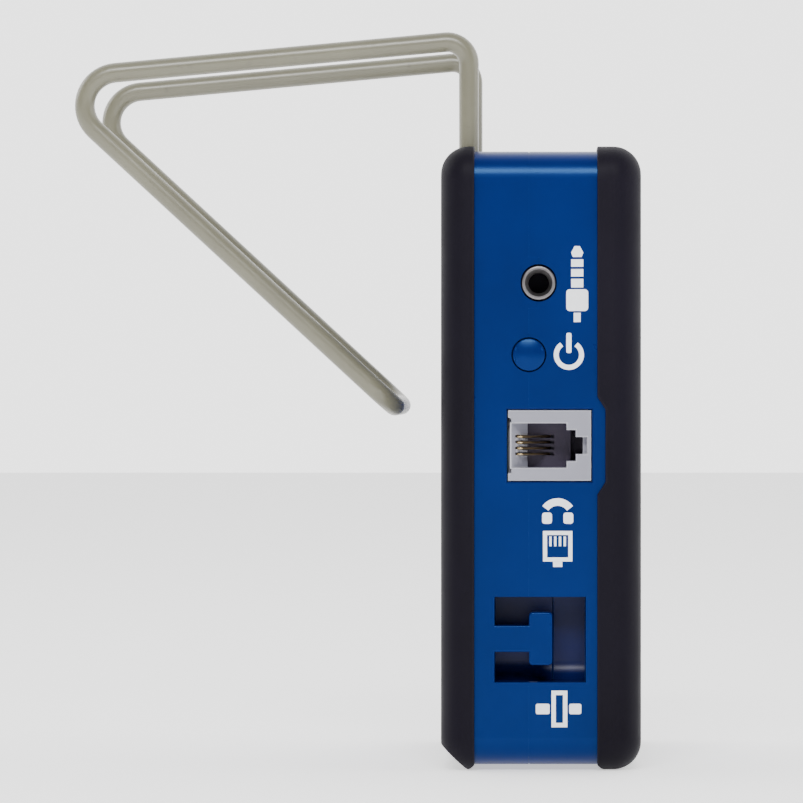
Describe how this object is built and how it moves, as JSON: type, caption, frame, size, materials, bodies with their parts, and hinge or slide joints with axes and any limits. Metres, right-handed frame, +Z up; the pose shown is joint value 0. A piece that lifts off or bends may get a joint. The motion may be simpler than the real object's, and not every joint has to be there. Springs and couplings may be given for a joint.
{
  "type": "network cable tester",
  "caption": "Handheld network cable tester with rubber-booted case, phone and LAN sockets, power-test button, cable strain relief, front keys and a sliding bent-wire hanger.",
  "frame": {"origin": "centre of the case's flat underside, between the two boots; the boots' feet stand 0.9 mm lower", "axes": "+Z up, -Y the front with the display and keys, +Y the back, -X the left side with the phone jack, power-test button and modular jack"},
  "size_m": [0.0738, 0.0997, 0.1295],
  "materials": {
    "case_blue": "satin, fine moulded texture",
    "liner_blue": "satin",
    "boot_rubber": "matt",
    "key_rubber": "matt",
    "jack_grey": "satin",
    "jack_dark": "satin",
    "contact_metal": "gold plated",
    "nickel": "satin nickel",
    "screw_steel": "zinc plated",
    "lens_clear": "polished",
    "display_metal": "stamped",
    "display_cell": "polished",
    "board_green": "solder mask",
    "light_green": "diffused",
    "light_amber": "diffused",
    "light_red": "diffused",
    "battery_can": "gloss",
    "hanger_coat": "semi-gloss powder coat",
    "guide_nylon": "natural nylon"
  },
  "bodies": {
    "body": {"battery": "battery_can", "battery_studs": "nickel", "battery_terminal_block": "jack_dark", "board_chips": "jack_dark", "board_header": "jack_dark", "board_screws": "screw_steel", "buzzer": "jack_dark", "case_screws": "screw_steel", "display_board": "board_green", "display_frame": "display_metal", "display_glass": "display_cell", "display_lens": "lens_clear", "front_boot": "boot_rubber", "front_case": "case_blue", "hanger_friction_springs": "screw_steel", "hanger_guide_left": "guide_nylon", "hanger_guide_right": "guide_nylon", "keypad_mat": "key_rubber", "lan_jack_contacts": "contact_metal", "lan_jack_housing": "jack_grey", "lan_jack_insert": "jack_dark", "light_left": "light_green", "light_middle": "light_amber", "light_right": "light_red", "main_board": "board_green", "mini_jack_body": "jack_dark", "mini_jack_bushing": "nickel", "modular_jack_contacts": "contact_metal", "modular_jack_housing": "jack_grey", "modular_jack_insert": "jack_dark", "power_switch_body": "jack_dark", "rear_boot": "boot_rubber", "rear_case": "case_blue", "strain_relief_liner": "liner_blue"},
    "hanger": {"hanger_wire": "hanger_coat", "hanger_retaining_pins": "screw_steel"},
    "power_button": {"power_test_button": "case_blue", "power_switch_plunger": "guide_nylon"},
    "battery_cover": {"battery_door": "case_blue"},
    "key_top_left_body": {"key_top_left": "key_rubber"},
    "key_top_right_body": {"key_top_right": "key_rubber"},
    "key_low_left_body": {"key_low_left": "key_rubber"},
    "key_low_right_body": {"key_low_right": "key_rubber"}
  },
  "joints": [
    {"name": "hanger_slide", "type": "slide", "parent": "body", "child": "hanger", "axis": [0, 0, 1], "range_m": [-0.016, 0]},
    {"name": "power_press", "type": "slide", "parent": "body", "child": "power_button", "axis": [1, 0, 0], "range_m": [0, 0.0008], "stiffness_N_per_m": 500},
    {"name": "battery_door_lift", "type": "slide", "parent": "body", "child": "battery_cover", "axis": [0, 1, 0], "range_m": [0, 0.006]},
    {"name": "key_top_left_press", "type": "slide", "parent": "body", "child": "key_top_left_body", "axis": [0, 1, 0], "range_m": [0, 0.0008], "stiffness_N_per_m": 500},
    {"name": "key_top_right_press", "type": "slide", "parent": "body", "child": "key_top_right_body", "axis": [0, 1, 0], "range_m": [0, 0.0008], "stiffness_N_per_m": 500},
    {"name": "key_low_left_press", "type": "slide", "parent": "body", "child": "key_low_left_body", "axis": [0, 1, 0], "range_m": [0, 0.0008], "stiffness_N_per_m": 500},
    {"name": "key_low_right_press", "type": "slide", "parent": "body", "child": "key_low_right_body", "axis": [0, 1, 0], "range_m": [0, 0.0008], "stiffness_N_per_m": 500}
  ]
}
